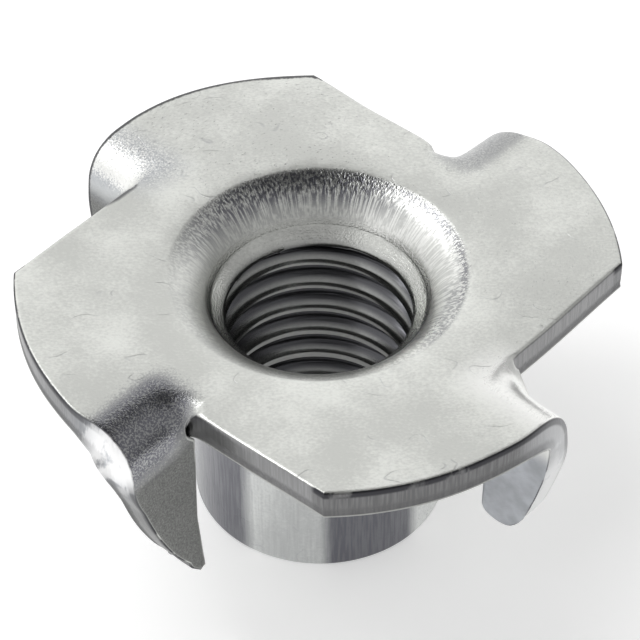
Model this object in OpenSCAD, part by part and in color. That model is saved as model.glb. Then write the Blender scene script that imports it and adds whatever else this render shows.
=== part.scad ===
// Tee nut: one round sheet blank with a threaded barrel drawn out of its middle,
// slit at each corner and folded down into prongs that bite into wood.
// The nut stands on the end of its barrel, with Z up its axis and a corner of the flange on +X.

/* [Flange] */
// Diameter of the round blank, from corner to corner
flange_d = 22; // [19:0.5:28]
// Thickness of the sheet
sheet_t = 1.25; // [0.9:0.05:1.6]
// Height from the end of the barrel to the top of the flange
nut_h = 11; // [9:0.5:16]
// Number of lobes, each ending in one prong
lobes = 4; // [3:1:5]

/* [Prongs] */
// Width of each prong, from the slit on its inner side to the corner of the blank
prong_w = 2.9; // [2.2:0.1:3.6]
// How far the fold starts before the foot of the slit
fold_back = 0.7; // [0.3:0.1:1.2]
// Inside radius of the fold
fold_inner_r = 0.5; // [0.3:0.1:0.9]
// Angle by which each prong is folded down, in degrees
fold_angle = 84; // [76:1:90]
// Radius of the notch where the slit ends at the fold
notch_r = 1; // [0.5:0.1:1.4]
// Radius of the tip of the prong
tip_r = 0.3; // [0.15:0.05:0.5]

/* [Thread] */
// Outer diameter of the thread, which the lead-in at the barrel's end opens to
thread_d = 8; // [6:0.5:10]
// Depth of the thread, down to the bore's wall
thread_depth = 0.55; // [0.35:0.05:0.7]

/* [Barrel] */
// Wall of the barrel outside the thread
barrel_wall = 0.7; // [0.5:0.05:1]
// Radius of the inside corner between the barrel and the flange
root_r = 0.5; // [0.2:0.1:0.8]
// Width of the chamfer round the outside of the barrel's end
end_chamfer = 0.2; // [0.1:0.05:0.4]

/* [Mouth] */
// Radius of the rolled edge of the mouth, in the flange
mouth_r = 1.5; // [1:0.1:1.8]
// Width of the sloping step between the bore's wall and the foot of the rolled edge
mouth_step = 0.48; // [0.3:0.02:0.6]

/* [Hidden] */
$fn = 120;
ZINC = [0.78, 0.79, 0.78];
OVER = 1;                                              // how far a cutter runs past what it cuts
KINK = 0.0001;                                         // how far inside the fold's tangent a prong leaves it

blank_r = flange_d/2;
slit_r = blank_r - prong_w;                            // distance of each slit from the axis
major_r = thread_d/2;
minor_r = major_r - thread_depth;
barrel_r = major_r + barrel_wall;
foot_r = minor_r + mouth_step;
mouth_top_r = foot_r + mouth_r;                        // where the roll of the mouth meets the flat flange
flange_z = nut_h - sheet_t;

slit_angle = acos(slit_r/blank_r);                     // from a corner back to the foot of its slit
fold_outer_r = fold_inner_r + sheet_t;
fold_mid_r = fold_inner_r + sheet_t/2;                 // the sheet keeps its length along its middle
fold_end = fold_mid_r*fold_angle*PI/180 - fold_back;   // place of the fold's end on the flat blank
fold_edge = sqrt(pow(blank_r, 2) - pow(fold_end, 2));  // outer side of the fold
face_y = fold_outer_r*sin(fold_angle) - fold_back;     // outer face of the prong, below the fold
hang_z = fold_mid_r*cos(fold_angle) + fold_end;        // blank's centre, above the fold's centre line

// centre of the tip's rounding below the blank's centre, and its tangent point on the blank's round edge
tip_x = slit_r + tip_r;
tip_drop = sqrt(pow(blank_r - tip_r, 2) - pow(tip_x, 2));
tip_touch = [tip_x, -tip_drop]*blank_r/(blank_r - tip_r);

// the flat flange from above, with X out along the first fold

module flat_outline() {
    difference() {
        circle(r = blank_r);
        for (i = [0 : lobes - 1]) rotate(i*360/lobes)
            translate([slit_r, -fold_back]) square([blank_r, 2*blank_r]);
    }
}

module notch_outline() {
    difference() {
        translate([slit_r, -fold_back]) square([notch_r, fold_back + face_y + notch_r]);
        translate([slit_r + notch_r, face_y + notch_r]) circle(r = notch_r);
    }
}

// the bent sheet, seen along its fold: X towards the prong, Y up from the fold's centre line

module bend_section() {
    difference() {
        union() {
            circle(r = fold_outer_r);
            rotate(-fold_angle) square([blank_r, fold_outer_r - KINK]);
        }
        circle(r = fold_inner_r);
        rotate(-fold_angle) translate([0, -blank_r]) square([2*blank_r, blank_r + fold_inner_r - KINK]);
        translate([-2*blank_r, -blank_r]) square(2*blank_r);
    }
}

// a prong seen across its fold: X out along the fold, Y up from its centre line

module prong_outline() {
    intersection() {
        translate([slit_r, -blank_r]) square([fold_edge - slit_r, 2*blank_r]);
        translate([0, hang_z]) {
            difference() {
                circle(r = blank_r);
                translate([0, -tip_drop - blank_r]) square([blank_r, blank_r]);
            }
            translate([tip_x, -tip_drop]) circle(r = tip_r);
            polygon([[tip_x, -tip_drop], tip_touch, [tip_touch[0], -tip_drop]]);
        }
    }
}

// the solids at one fold: X out along its centre line, Z up

module prong() {
    intersection() {
        translate([slit_r - OVER, 0, 0]) rotate([90, 0, 90]) linear_extrude(blank_r) bend_section();
        translate([0, blank_r, 0]) rotate([90, 0, 0]) linear_extrude(2*blank_r) prong_outline();
    }
}

// the metal drawn out of the end of the slit, which fills the corner between the flange and the prong
module gusset() {
    difference() {
        translate([0, fold_back, 0]) linear_extrude(fold_outer_r) notch_outline();
        rotate([0, 90, 0]) cylinder(r = fold_mid_r, h = blank_r);
    }
}

module flange() {
    translate([0, 0, flange_z]) linear_extrude(sheet_t) flat_outline();
    for (i = [0 : lobes - 1]) rotate(i*360/lobes)
        translate([0, -fold_back, nut_h - fold_outer_r]) {
            prong();
            gusset();
        }
}

// half sections of the barrel and of its bore: X is the radius, Y the height

module barrel_section() {
    polygon([[0, 0], [barrel_r - end_chamfer, 0], [barrel_r, end_chamfer], [barrel_r, nut_h], [0, nut_h]]);
    difference() {
        translate([barrel_r, flange_z - root_r]) square([root_r, root_r + sheet_t/2]);
        translate([barrel_r + root_r, flange_z - root_r]) circle(r = root_r);
    }
}

module bore_section() {
    foot_z = nut_h - mouth_r;
    translate([0, -OVER]) square([minor_r, nut_h + 2*OVER]);
    polygon([[0, -OVER], [major_r + OVER, -OVER], [minor_r, thread_depth], [0, thread_depth]]);
    polygon([[0, foot_z - mouth_step], [minor_r, foot_z - mouth_step], [foot_r, foot_z], [0, foot_z]]);
    difference() {
        translate([0, foot_z]) square([mouth_top_r, mouth_r + OVER]);
        translate([mouth_top_r, foot_z]) circle(r = mouth_r);
    }
}

module tee_nut() {
    color(ZINC) rotate(-slit_angle) difference() {
        union() {
            flange();
            rotate_extrude() barrel_section();
        }
        rotate_extrude() bore_section();
    }
}

tee_nut();
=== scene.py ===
"""Zinc plated tee nut: a slit and folded sheet blank with a tapped barrel drawn out of it."""

import math

import bmesh
import bpy
import numpy as np
from mathutils import Matrix, Vector, geometry


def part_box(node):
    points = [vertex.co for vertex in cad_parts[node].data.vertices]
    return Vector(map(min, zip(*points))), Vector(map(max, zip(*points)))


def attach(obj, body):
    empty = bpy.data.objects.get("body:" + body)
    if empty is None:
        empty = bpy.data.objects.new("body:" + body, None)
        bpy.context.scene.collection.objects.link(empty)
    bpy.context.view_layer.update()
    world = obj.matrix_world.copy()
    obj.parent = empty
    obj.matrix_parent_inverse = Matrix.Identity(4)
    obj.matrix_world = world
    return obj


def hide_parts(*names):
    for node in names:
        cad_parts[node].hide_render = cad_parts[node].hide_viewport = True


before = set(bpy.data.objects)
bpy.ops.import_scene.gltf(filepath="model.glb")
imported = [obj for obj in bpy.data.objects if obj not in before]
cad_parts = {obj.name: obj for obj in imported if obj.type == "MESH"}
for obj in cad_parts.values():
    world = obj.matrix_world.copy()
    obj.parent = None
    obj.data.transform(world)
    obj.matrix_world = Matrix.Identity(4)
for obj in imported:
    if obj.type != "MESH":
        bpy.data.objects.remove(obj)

bl_info = {
    "name": "Tee Nut",
    "version": (1, 0, 0),
    "blender": (4, 5, 0),
    "location": "View3D > Sidebar > Tee Nut",
    "description": "Builds a zinc plated tee nut with folded prongs and a tapped barrel",
    "category": "Add Mesh",
}

BOX_LOW, BOX_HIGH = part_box("tee_nut")
MM = 0.001
LOBES = 4  # each is a quarter of the blank with one prong, and the two kinds take turns
SEAM = math.radians(-15)  # where one lobe of the sheet is joined to the next
SLIT_TURN = math.acos(8.1 / 11.0)  # from a corner of the flange back to the foot of its slit


def length(name, description, default):
    return bpy.props.FloatProperty(
        name=name, description=description, default=default, unit="LENGTH", precision=5
    )


def angle(name, description, degrees):
    return bpy.props.FloatProperty(
        name=name, description=description, default=math.radians(degrees), subtype="ANGLE"
    )


def number(name, description, default, low, high):
    return bpy.props.IntProperty(
        name=name, description=description, default=default, min=low, max=high
    )


def share(name, description, default):
    return bpy.props.FloatProperty(
        name=name, description=description, default=default, subtype="FACTOR", min=0, max=1
    )


def colour(name, description, default):
    return bpy.props.FloatVectorProperty(
        name=name, description=description, default=default, subtype="COLOR", size=3, min=0, max=1
    )


class TeeNutSheet(bpy.types.PropertyGroup):
    """Sizes of the pressed sheet: the flange and its folded prongs"""

    flange_d: length("Flange diameter", "From corner to corner", BOX_HIGH.x - BOX_LOW.x)
    top_z: length("Flange top", "Height of the top face round the mouth", BOX_HIGH.z - 0.15 * MM)
    thickness: length("Sheet", "Thickness of the sheet", 1.25 * MM)
    slit_r: length("Slit", "Distance of each slit from the axis", 8.08 * MM)
    fold_back: length("Fold start", "Distance of the fold's start before the radial line", 0.7 * MM)
    fold_inner_r: length("Fold radius", "Inside radius of the fold", 0.5 * MM)
    fold_angle: angle("Fold angle", "Angle by which each prong is folded down", 84)
    relief_r: length("Relief", "Radius of the rounded end of each slit", 0.1 * MM)
    relief_y: length("Relief place", "Distance of that end past the radial line", 1.35 * MM)
    neck: length("Neck", "Length over which the slit's end narrows to the slit", 0.3 * MM)
    roll_w: length("Edge roll", "Width of the rounding along the cut edges", 0.18 * MM)
    roll_d: length("Edge drop", "Depth of that rounding", 0.08 * MM)
    burr_w: length("Burr width", "Width of the worn burr along the lower edges", 0.14 * MM)
    burr_d: length("Burr depth", "Depth of the rounding on that burr", 0.06 * MM)
    warp: share("Warp", "How much of the press's warp the flange keeps", 1.0)
    dish: length("Dish", "How far the drawing of the barrel pulled the mouth down", 0.09 * MM)


class TeeNutBarrel(bpy.types.PropertyGroup):
    """Sizes of the barrel, its mouth and its thread"""

    outer_r: length("Barrel radius", "Outside radius of the barrel", 4.8 * MM)
    root_r: length("Root radius", "Radius between barrel and flange", 0.5 * MM)
    end_chamfer: length("End chamfer", "Chamfer round the barrel's end", 0.2 * MM)
    major_r: length("Thread radius", "Largest radius of the thread", 4.0 * MM)
    minor_r: length("Bore radius", "Radius over the thread's crests", 3.45 * MM)
    pitch: length("Pitch", "Rise of the thread in one turn", 1.25 * MM)
    crest_z: length("Crest height", "Height of a thread crest behind the axis", 7.9 * MM)
    mouth_w: length("Mouth width", "Width of the mouth's rolled edge", 1.62 * MM)
    mouth_h: length("Mouth height", "Height of the mouth's rolled edge", 1.5 * MM)
    mouth_slope: angle("Mouth slope", "Slope at which the rolled edge starts", 22)
    mouth_step: length("Mouth step", "Width of the sloping step below the roll", 0.48 * MM)
    segments: number("Segments", "Number of steps round the axis", 144, 48, 240)


class TeeNutFinish(bpy.types.PropertyGroup):
    """Colours and gloss of the plating"""

    zinc: colour("Zinc", "Colour of the plated surface", (0.77, 0.78, 0.745))
    dull: colour("Dull zinc", "Colour where the press has roughened it", (0.26, 0.262, 0.295))
    steel: colour("Cut steel", "Colour of the sheared edges", (0.2, 0.2, 0.202))
    bluish: colour("Bluish zinc", "Colour of the prongs' inner faces", (0.56, 0.58, 0.615))
    # dull worn zinc, made darker as painted shade: the prongs' outer faces and the edge low on the
    # prong
    worn: colour("Worn zinc", "Colour of the prongs' outer faces", (0.11, 0.112, 0.11))
    # painted highlight colour: the right fold, the middle of the left fold and the right side of
    # the mouth
    bright: colour("Rubbed zinc", "Colour where the press has rubbed it", (0.97, 0.97, 0.95))
    # painted highlight colour for the patches on the squeezed edges
    patches: colour("Squeezed zinc", "Colour of the squeezed edge's patches", (0.95, 0.95, 0.95))
    # dark line: cracks between face and edge, and the painted shadow along the slit by the left
    # fold
    line: colour("Dark line", "Colour of the cracks beside the folds", (0.06, 0.06, 0.07))
    rim_line: colour("Rim line", "Colour of the broken line round the rim", (0.05, 0.05, 0.055))
    gloss: share("Roughness", "Roughness of the flat faces", 0.34)


class TeeNutStage(bpy.types.PropertyGroup):
    """Floor, lamps and camera"""

    floor: colour("Floor", "Colour of the floor", (0.8, 0.8, 0.8))
    world: share("Room light", "Brightness of the room", 1.0)
    glow: share("Floor glow", "How much of the floor's white is its own light", 0.4)
    hood: share("Hood tone", "Tone of the dark cloth over the front and right", 0.12)
    lit_cloth: share("Lit cloth", "Brightness of the cloth low in front and at the right", 0.4)
    gauze: share("Gauze", "Brightness of the gauze over the upper part of the opening", 0.84)
    elevation: angle("Camera elevation", "Height of the camera above the flange's plane", 45.2)
    roll: angle("Camera roll", "Turn of the camera about its own line of sight", -0.62)
    turn: angle("Camera turn", "Camera's turn round the axis, from straight in front", -0.31)
    distance: length("Camera distance", "Distance from the camera to its aim", 115.63 * MM)
    aim: bpy.props.FloatVectorProperty(
        name="Camera aim",
        description="Offset of the flange's centre from the middle of the picture",
        default=(-0.058 * MM, -1.834 * MM),
        size=2,
        unit="LENGTH",
        precision=5,
    )
    lens: bpy.props.FloatProperty(
        name="Lens", description="Focal length on a 36 mm sensor", default=180.0
    )


# --- the pressed sheet: all sizes in millimetres -----------------------------------------------


PRONG_INSET = 0.14  # from the slit's line to the prong's inner side
CORNER_R = 0.12  # rounding of a lobe's corner
EDGE_STEP = 0.17  # spacing of the points along the cut edge
SLIT_SIDE = 0.02  # what lies this far past the slit's line belongs to the prong


def eased(q):
    """Turns an even run from 0 to 1 into one that starts and ends softly."""
    return q * q * (3 - 2 * q)


def on_blank(p):
    """The sheet's sizes in millimetres, and those that follow from them."""
    s = {k: getattr(p, k) for k in TeeNutSheet.__annotations__}
    for k, v in s.items():
        if k not in ("fold_angle", "warp"):
            s[k] = v / MM
    s["blank_r"] = s["flange_d"] / 2
    s["outer_r"] = s["fold_inner_r"] + s["thickness"]
    s["middle_r"] = s["fold_inner_r"] + s["thickness"] / 2
    s["fold_end"] = s["middle_r"] * s["fold_angle"] - s["fold_back"]
    s["prong_x"] = s["slit_r"] + PRONG_INSET
    s["relief_x"] = s["slit_r"] + s["relief_r"]
    s["seam_turn"] = SEAM + SLIT_TURN
    return s


# How the two kinds of prong differ:
# tip_r and tip_drop: the tip's radius, and how far it is drawn out
# pulled and squeezed: how far the fold pulls the outer face in and squeezes the inner face out
# web_in and web_out: how far to either side the slit's end drags the metal along
# rim, lean and shine, at places along the blank: how far the rim stands out, how far the inner
# side leans in, and how strong the painted highlight on the squeezed rim is
# even: 1 where that painted highlight has no patches, the fold gets a painted highlight and shade
# and the slit beside it a painted shadow, 0 where the highlight has patches
# peel: how rough the stretched skin of the fold is
KINDS = {
    "worn": {
        "tip_r": 0.5,
        "tip_drop": 0.72,
        "pulled": 0.12,
        "squeezed": 0.1,
        "web_in": 0.4,
        "web_out": 1.8,
        "rim": ((-3, 0), (-0.5, 0.02), (0.6, -0.06), (2, 0), (4.5, 0), (5.4, 0.05), (6.1, 0)),
        "lean": ((1.4, 0), (1.8, 0.3), (4, 0.36), (6.5, 0.66)),
        "shine": ((-2, 0), (3, 0.9), (8, 1)),
        "even": 1.0,
        "peel": 0.2,
    },
    "sharp": {
        "tip_r": 0.07,
        "tip_drop": 0.18,
        "pulled": 0.33,
        "squeezed": 0.22,
        "web_in": 1.0,
        "web_out": 1.1,
        "rim": (
            *((-3, 0), (-0.6, 0.02), (0.9, 0.1), (2.9, -0.12)),
            *((4.4, -0.06), (6.6, 0.02), (6.66, 0.15), (7.3, 0.15)),
        ),
        "lean": ((1.36, 0), (1.6, 0.4), (2.4, 0.42), (3.6, 0.26), (4.8, 0.12), (7.2, 0.16)),
        "shine": ((-2.4, 0.1), (-1.2, 0.4), (-0.3, 1), (0.9, 1), (1.7, 0.5), (3.8, 0)),
        "even": 0.0,
        "peel": 1.0,
    },
}


def dragged(u, y, s):
    """How far the blank's point (u, y) follows the fold: 0 stays flat, 1 goes down with it."""
    # next to the slit's end the sheet is only dragged part of the way, so it hangs there like a web
    beyond = eased(np.clip((y - s["relief_y"]) / s["neck"], 0, 1))
    middle = (s["slit_r"] + s["prong_x"]) / 2
    side = u - s["relief_x"] - (middle - s["relief_x"]) * beyond
    rest = s["web_in"] / (s["web_in"] + 2 * s["web_out"])
    reach = np.where(side < 0, s["web_in"], s["web_out"])
    along = np.clip((y - s["relief_y"]) / (1.2 * reach), 0, None)
    pull = np.clip(np.abs(side) / reach + np.sqrt(along), 0, 1)
    outside = rest + (1 - rest) * (1.5 * pull - 0.5 * pull**3)
    return np.where(side < 0, rest * (1 - pull) ** 3, outside)


def fold_turn(y, s):
    """How far the sheet is turned down at the blank's y."""
    return np.clip((y + s["fold_back"]) / s["middle_r"], 0, s["fold_angle"])


def folded(u, y, s):
    """Where the top face of the blank's point (u, y) lies once the prong is folded down."""
    turn = fold_turn(y, s)
    past = np.clip(y - s["fold_end"], 0, None)
    centre_z = s["top_z"] - s["outer_r"]
    bent_y = -s["fold_back"] + s["outer_r"] * np.sin(turn) + past * math.cos(s["fold_angle"])
    bent_y = np.where(y < -s["fold_back"], y, bent_y)
    bent_z = centre_z + s["outer_r"] * np.cos(turn) - past * math.sin(s["fold_angle"])
    # the prong's inner side leans in below the fold, and its tip is drawn out a little
    inner = np.clip((u - s["prong_x"]) / 1.2, 0, 1)
    lean = np.interp(y, *zip(*s["lean"])) * (1 - eased(inner))
    lean = np.where(u > s["slit_r"] + SLIT_SIDE, lean, 0)
    bent_z = bent_z - s["tip_drop"] * np.clip((y - 3.5) / 3, 0, 1)
    drag = dragged(u, y, s)
    z = s["top_z"] + drag * (bent_z - s["top_z"])
    return np.stack([u - lean, y + drag * (bent_y - y), z], -1)


def face_normals(u, y, s):
    """The way out of the sheet at the blank's points, across the fold only."""
    turn, drag = fold_turn(y, s), dragged(u, y, s)
    n = np.stack([0 * turn, drag * np.sin(turn), 1 - drag + drag * np.cos(turn)], -1)
    return n / np.linalg.norm(n, axis=-1, keepdims=True)


def stretched_out(x, y, d, s):
    """The blank's x at share d of the thickness, moved at the rim as the fold stretches it."""
    by = s["squeezed"] * d - s["pulled"] * (1 - d)
    across = np.clip(1 - np.abs(y - 0.25) / 2.2, 0, 1)
    near_rim = np.clip(1 - (s["blank_r"] - np.hypot(x, y)) / 1.6, 0, 1)
    return x + by * ((x > s["slit_r"]) * eased(across)) * near_rim * near_rim


def rounding(near, width, deep):
    """How far a rounded edge falls away from its face, at a distance from the cut."""
    q = np.clip(1 - near / width, 0, 1)
    return deep * (1 - np.sqrt(1 - q * q))


# how far the press left the rim up or down at bearings round the axis, in degrees
WARP = (
    *((0, 0.05), (30, 0.0), (55, -0.5), (75, -0.48), (90, -0.2), (120, 0.02), (135, -0.1)),
    *((148, 0.3), (165, 0.23), (180, 0.13), (210, 0.15), (240, -0.2), (270, 0.15)),
    *((300, 0.1), (335, -0.25), (360, 0.05)),
)


def warped(co, ring_r, rim_r, amount, dish):
    """The flange's points, raised and lowered towards the rim as the press left them."""
    bearing = np.degrees(np.arctan2(co[:, 1], co[:, 0])) % 360
    places, rises = np.array(WARP).T
    k = np.clip(np.searchsorted(places, bearing, "right") - 1, 0, len(places) - 2)
    q = (bearing - places[k]) / (places[k + 1] - places[k])
    rise = rises[k] + (rises[k + 1] - rises[k]) * q * q * (3 - 2 * q)
    radius = np.hypot(co[:, 0], co[:, 1])
    out = np.clip((radius - ring_r) / (rim_r - ring_r), 0, 1)
    sunk = np.clip(1 - (radius - ring_r) / 1.8, 0, 1) ** 2 * np.clip(co[:, 2] / 5 - 1, 0, 1)
    co[:, 2] += amount * rise * out**1.3 - dish * sunk
    return co


def arc(cx, cy, r, start, end, step):
    """Points along an arc, about a step apart."""
    n = max(2, int(abs(end - start) * r / step) + 1)
    a = np.linspace(start, end, n)
    return [(cx + r * math.cos(t), cy + r * math.sin(t)) for t in a]


def line(a, b):
    """Points along a straight line, about EDGE_STEP apart."""
    n = max(2, int(math.dist(a, b) / EDGE_STEP) + 1)
    return [(a[0] + (b[0] - a[0]) * t, a[1] + (b[1] - a[1]) * t) for t in np.linspace(0, 1, n)]


def chained(parts):
    """The parts' points in one row, without doubles where one part meets the next."""
    out = []
    for part in parts:
        for q in part:
            if not out or math.dist(out[-1], q) > 1e-3:
                out.append(q)
    return out


def lobe_outline(s):
    """The cut edge of one lobe on the flat blank, from one slit's middle to the next one's."""
    tip_r = s["tip_r"]
    tip_x = s["prong_x"] + tip_r
    tip_y = math.sqrt((s["blank_r"] - tip_r) ** 2 - tip_x**2)
    tip_turn = math.atan2(tip_y, tip_x)
    R, slit = s["blank_r"], s["slit_r"]
    half = slit * math.tan(s["seam_turn"])
    # a small rounding at the lobe's corner, between the slit's line and the blank's round edge
    cy = -slit + CORNER_R
    cx = math.sqrt((R - CORNER_R) ** 2 - cy**2)
    turn = math.atan2(cy, cx)
    edge = line((half, -slit), (cx, -slit))
    edge_corner = arc(cx, cy, CORNER_R, -math.pi / 2, turn, 0.03)
    rim = []
    for x, y in arc(0, 0, R, turn, tip_turn, EDGE_STEP):
        out = 1 + float(np.interp(y, *zip(*s["rim"]))) / R
        rim.append((x * out, y * out))
    tip = arc(tip_x, tip_y, tip_r, tip_turn, math.pi, 0.06)
    # the prong's inner side, with the hollow left by the rounded end of the slit
    hollow = 2 * s["relief_r"] + slit - s["prong_x"]
    top, low = s["relief_y"], s["relief_y"] + s["neck"]
    side = line((s["prong_x"], tip_y), (s["prong_x"], low))
    t = np.linspace(0, 1, 9)
    neck = [(s["prong_x"] + hollow * e, low + (top - low) * q) for q, e in zip(t, eased(t))]
    relief = arc(s["relief_x"], s["relief_y"], s["relief_r"], 0, -math.pi, 0.05)
    cut = line((slit, top), (slit, half))
    return chained([edge, edge_corner, rim, tip, side, neck, relief, cut])


def distance_to(points, outline):
    """Distance of each point from the outline, worked out for a block of points at a time."""
    a, b = outline[:-1], outline[1:]
    d = b - a
    best = np.zeros(len(points))
    block = 400
    for i in range(0, len(points), block):
        p = points[i : i + block, None]
        t = np.clip(((p - a) * d).sum(-1) / (d * d).sum(-1), 0, 1)
        best[i : i + block] = np.linalg.norm(p - (a + t[..., None] * d), axis=-1).min(1)
    return best


def inside(points, ring):
    """Whether each point lies inside the closed ring."""
    x, y = points[:, 0], points[:, 1]
    odd = np.zeros(len(points), bool)
    for (x0, y0), (x1, y1) in zip(ring, np.roll(ring, -1, 0)):
        if y0 != y1:
            odd ^= ((y0 > y) != (y1 > y)) & (x < x0 + (x1 - x0) * (y - y0) / (y1 - y0))
    return odd


def point_net(s, ring_r, cut_line):
    """An even net of points over the flat blank, finer across the fold."""
    reach, wide, high = 11, 0.5, 0.43
    fold_low, fold_high = -1.1, 3.2
    net = []
    for x in np.arange(-reach, reach + 0.2, wide):
        ys = np.arange(-reach, 8.5, high)
        net += [(x + wide / 2 * (i % 2), y) for i, y in enumerate(ys)]
    net = np.array(net)
    beside = net[:, 0] > s["slit_r"] - 1.3
    net = net[~(beside & (net[:, 1] > fold_low) & (net[:, 1] < fold_high))]
    fine = [
        (x, y)
        for y in np.arange(-1.05, 3.15, 0.1)
        for x in (
            *np.arange(s["slit_r"] - 1.25, s["slit_r"] - 0.6, 0.16),
            *np.arange(s["slit_r"] - 0.6, s["slit_r"] + 0.8, 0.08),
            *np.arange(s["slit_r"] + 0.8, reach, 0.16 if y < 2 else 0.24),
        )
    ]
    net = np.concatenate([net, np.array(fine)])
    gap = np.where(net[:, 1] > fold_low, 0.3, 0.5)
    clear = distance_to(net, cut_line) > gap
    return net[clear & (np.hypot(net[:, 0], net[:, 1]) > ring_r + 0.3)]


def blank_faces(s, ring_r, ring_steps, outline, cut_line):
    """The flat lobe cut up: its points, its faces, and where the outline's points are."""
    insets = [s["roll_w"] * q for q in (0.1, 0.26, 0.5, 0.78, 1.0)] + [0.45]
    first, last = s["seam_turn"] - 2 * math.pi / LOBES, s["seam_turn"]
    seam = [(s["slit_r"] - d) / math.cos(last) for d in insets]
    seam += list(np.linspace(seam[-1] - 0.35, ring_r, 8)[:-1])
    seam_a = [(r * math.cos(last), r * math.sin(last)) for r in seam]
    seam_b = [(r * math.cos(first), r * math.sin(first)) for r in reversed(seam)]
    ring = [
        (ring_r * math.cos(a), ring_r * math.sin(a))
        for a in np.linspace(last, first, ring_steps + 1)
    ]
    loop = np.array(list(outline) + seam_a + ring + seam_b)
    # rows of points along the cut edge, for its rounding
    tangent = np.gradient(outline, axis=0)
    tangent /= np.linalg.norm(tangent, axis=1, keepdims=True)
    inward = np.stack([-tangent[:, 1], tangent[:, 0]], 1)
    rows = np.concatenate([outline[1:-1] + inward[1:-1] * d for d in insets])
    rows = rows[distance_to(rows, cut_line) > 0.9 * np.repeat(insets, len(outline) - 2)]
    inner = np.concatenate([rows, point_net(s, ring_r, cut_line)])
    inner = inner[inside(inner, loop)]
    # no point of the net stands close to a seam or to the ring where the barrel joins
    seams = (loop[len(outline) - 1], ring[0]), (ring[-1], loop[0])
    for border in (*seams, ring):
        inner = inner[distance_to(inner, np.array(border)) > 0.07]
    points = [Vector(q) for q in np.concatenate([loop, inner])]
    verts, _, faces, origin, _, _ = geometry.delaunay_2d_cdt(
        points, [], [list(range(len(loop)))], 1, 1e-5
    )
    where = {old: i for i, olds in enumerate(origin) for old in olds}
    edge = [where[i] for i in range(len(outline))]
    return np.array([tuple(v) for v in verts]), faces, edge


def lobe_mesh(s, ring_r, ring_steps):
    """One lobe with its prong: vertices, faces, and what the plating has to know of each."""
    outline = np.array(lobe_outline(s))
    # the cut runs on straight past both seams, so that both lobes measure the same beside a seam
    cut_line = np.array([outline[0] - (1, 0), *outline, outline[-1] + (0, 1)])
    place, faces, edge = blank_faces(s, ring_r, ring_steps, outline, cut_line)
    count, around = len(place), len(outline)
    near = distance_to(place, cut_line)
    t = s["thickness"]
    # the two faces
    u, y = place.T
    n = face_normals(u, y, s)
    drop = rounding(near, s["roll_w"], s["roll_d"])
    lift = rounding(near, s["burr_w"], s["burr_d"])
    top = folded(stretched_out(u, y, 0, s), y, s) - n * drop[:, None]
    low = folded(stretched_out(u, y, 1, s), y, s) - n * (t - lift)[:, None]
    # the wall between the two faces, along the cut edge only
    e_u, e_y = outline.T
    e_n = face_normals(e_u, e_y, s)
    e_out = np.cross(np.gradient(folded(e_u, e_y, s), axis=0), e_n)
    e_out /= np.linalg.norm(e_out, axis=1, keepdims=True)
    e_out[0], e_out[-1] = (0, -1, 0), (1, 0, 0)
    # rows down the wall: share of the thickness, and how far the torn lower part stands out
    steps = ((0.18, 0.0), (0.34, 0.0), (0.5, -0.004), (0.66, -0.012), (0.8, -0.025), (0.9, -0.03))
    coords = [top, low]
    wall = [np.clip(1 - near / (0.5 * s["roll_w"]), 0, 1), np.clip(1 - near / 0.04, 0, 1)]
    depth = [np.clip(drop / t, 0, 1), np.ones(count)]
    for d, out in steps:
        coords.append(folded(stretched_out(e_u, e_y, d, s), e_y, s) - e_n * d * t + e_out * out)
        wall.append(np.ones(around))
        depth.append(np.full(around, d))
    quads = [tuple(f) for f in faces]
    quads += [tuple(i + count for i in reversed(f)) for f in faces]
    rows = [edge]
    for i in range(len(steps)):
        rows.append(list(range(2 * count + i * around, 2 * count + (i + 1) * around)))
    rows.append([i + count for i in edge])
    for a, b in zip(rows, rows[1:]):
        quads += [(a[i + 1], a[i], b[i], b[i + 1]) for i in range(around - 1)]

    all_u = np.concatenate([u, u] + [e_u] * len(steps))
    all_y = np.concatenate([y, y] + [e_y] * len(steps))
    all_r = np.hypot(all_u, all_y)

    def along_cut(width):
        """1 at the cut, fading over the width on the top face and down the wall."""
        return np.concatenate(
            [np.clip(1 - near / width, 0, 1), np.zeros(count), *(1 - q for q in depth[2:])]
        )

    # how strongly the metal was worked: all across the fold, fading into the flat faces
    into = np.clip((all_y + s["fold_back"] + 0.9) / 1.3, 0, 1)
    off = np.clip((s["fold_end"] + 1.0 - all_y) / 1.2, 0, 1)
    beside = np.clip((all_u - s["slit_r"] + 1.3) / 1.3, 0, 1)
    worked = eased(into) * off * beside
    at_rim = np.clip((all_r - s["blank_r"]) / 0.6 + 1, 0, 1)
    squeezed = at_rim * np.interp(all_y, *zip(*s["shine"]))
    on_arc = (all_r > s["blank_r"] - 0.35).astype(float)
    # the painted shadow runs along the slit, from the fold outwards
    by_slit = (all_u < s["slit_r"] + SLIT_SIDE) * (all_y > 0.0) * np.clip((3.6 - all_y) / 1.4, 0, 1)
    marks = {
        "wall": np.concatenate(wall),
        "depth": np.concatenate(depth),
        "worked": worked * s["peel"],
        "squeezed": squeezed,
        "even": squeezed * s["even"],
        # where the worn kind's folds get painted light: a highlight, and on the left painted shade
        # as well
        "rubbed": worked * s["even"],
        "arc": on_arc,
        "brim": on_arc * along_cut(0.36),
        # painted shadow beside the slit, on the worn kind
        "crease": s["even"] * (by_slit * along_cut(0.4)),
        "prong": np.clip((all_y - s["fold_end"]) / 0.6, 0, 1) * (all_u > s["slit_r"] + 0.05),
    }
    return np.concatenate(coords), quads, marks


def mesh_object(name, co, faces, attributes):
    """A mesh object at the origin, from millimetre coordinates."""
    mesh = bpy.data.meshes.new(name)
    mesh.from_pydata([tuple(c) for c in np.asarray(co) * MM], [], [tuple(f) for f in faces])
    for key, values in attributes.items():
        layer = mesh.attributes.new(key, "FLOAT", "POINT")
        layer.data.foreach_set("value", np.asarray(values, np.float32))
    obj = bpy.data.objects.new(name, mesh)
    bpy.context.scene.collection.objects.link(obj)
    return obj


# --- geometry trees ----------------------------------------------------------------------------


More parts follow.
